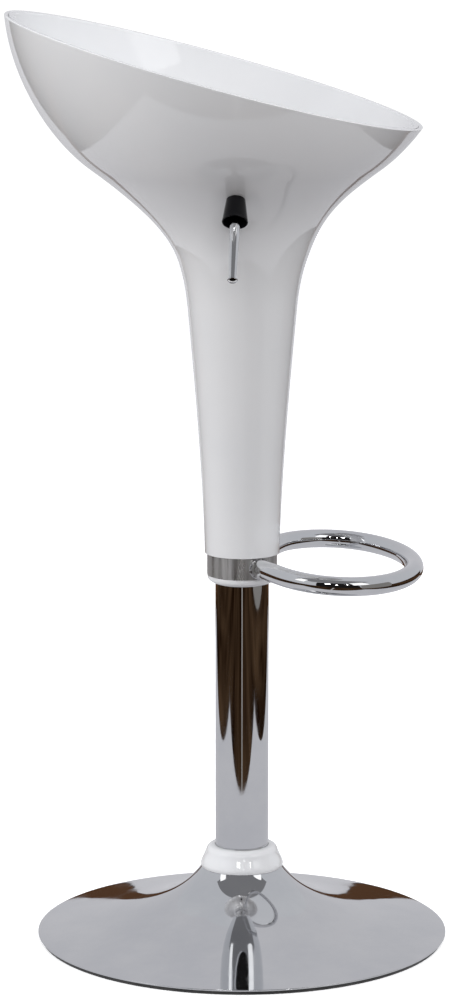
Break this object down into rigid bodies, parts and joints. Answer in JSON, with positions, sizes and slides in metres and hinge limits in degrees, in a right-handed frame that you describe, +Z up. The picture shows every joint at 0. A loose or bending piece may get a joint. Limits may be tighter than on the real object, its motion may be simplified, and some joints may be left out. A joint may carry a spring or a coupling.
{
  "type": "adjustable swivel stool",
  "caption": "Bar stool with a moulded bucket seat on a trumpet shell, gas-lift column, looped footrest, side release lever and round trumpet base.",
  "frame": {"origin": "centre of the floor pad's underside, on the column's axis", "axes": "+Z up along the column, +X to the low front of the seat and the footrest, -Y the side of the release lever"},
  "size_m": [0.4105, 0.3944, 0.8707],
  "materials": {
    "white_plastic": "high-gloss white moulded ABS",
    "chrome": "polished chrome plate",
    "brushed_band": "satin band, brushed around its circumference",
    "plain_steel": "plain turned and pressed steel",
    "black_paint": "black powder coat",
    "black_lacquer": "high-gloss black lacquer",
    "nylon": "black nylon",
    "rubber": "matt black rubber",
    "cast_iron": "rough grey casting"
  },
  "bodies": {
    "base": {"floor_pad": "rubber", "ballast_plate": "cast_iron", "base_cover": "chrome", "column_socket": "plain_steel", "base_ring": "white_plastic", "column_tube": "chrome", "column_foot": "plain_steel", "guide_sleeve": "nylon", "lower_race": "plain_steel", "ball_cage": "plain_steel"},
    "spindle": {"piston_rod": "chrome", "piston": "nylon", "rod_clip": "plain_steel", "upper_race": "plain_steel", "bump_stop": "rubber"},
    "seat": {"seat_shell": "white_plastic", "seat_dish": "white_plastic", "guide_bush": "white_plastic", "footrest_collar": "brushed_band", "footrest_loop": "chrome", "lever_hood": "black_lacquer", "pressure_tube": "black_paint", "tube_end_guide": "nylon", "valve_body": "plain_steel", "mounting_plate": "black_paint", "taper_hub": "black_paint", "lever_bracket": "black_paint", "pivot_pin": "plain_steel", "seat_bolt_1": "plain_steel", "seat_bolt_2": "plain_steel", "seat_bolt_3": "plain_steel", "seat_bolt_4": "plain_steel", "seat_washer_1": "plain_steel", "seat_washer_2": "plain_steel", "seat_washer_3": "plain_steel", "seat_washer_4": "plain_steel"},
    "lever": {"lever_shaft": "chrome", "lever_handle": "chrome", "lever_tip": "chrome"},
    "valve_button": {"release_pin": "plain_steel"}
  },
  "joints": [
    {"name": "swivel", "type": "hinge", "parent": "base", "child": "spindle", "pos_m": [0, 0, 0.0352], "axis": [0, 0, 1], "continuous": true},
    {"name": "height", "type": "slide", "parent": "spindle", "child": "seat", "axis": [0, 0, 1], "range_m": [-0.21, 0]},
    {"name": "lever_lift", "type": "hinge", "parent": "seat", "child": "lever", "pos_m": [0, -0.052, 0.7037], "axis": [-1, 0, 0], "range_deg": [0, 4.5], "stiffness_Nm_per_rad": 8, "springref_deg": -2.86},
    {"name": "release_travel", "type": "slide", "parent": "seat", "child": "valve_button", "axis": [0, 0, -1], "range_m": [0, 0.0042]}
  ],
  "couplings": [
    {"joint": "release_travel", "follows": "lever_lift", "m_per_rad": 0.052}
  ]
}
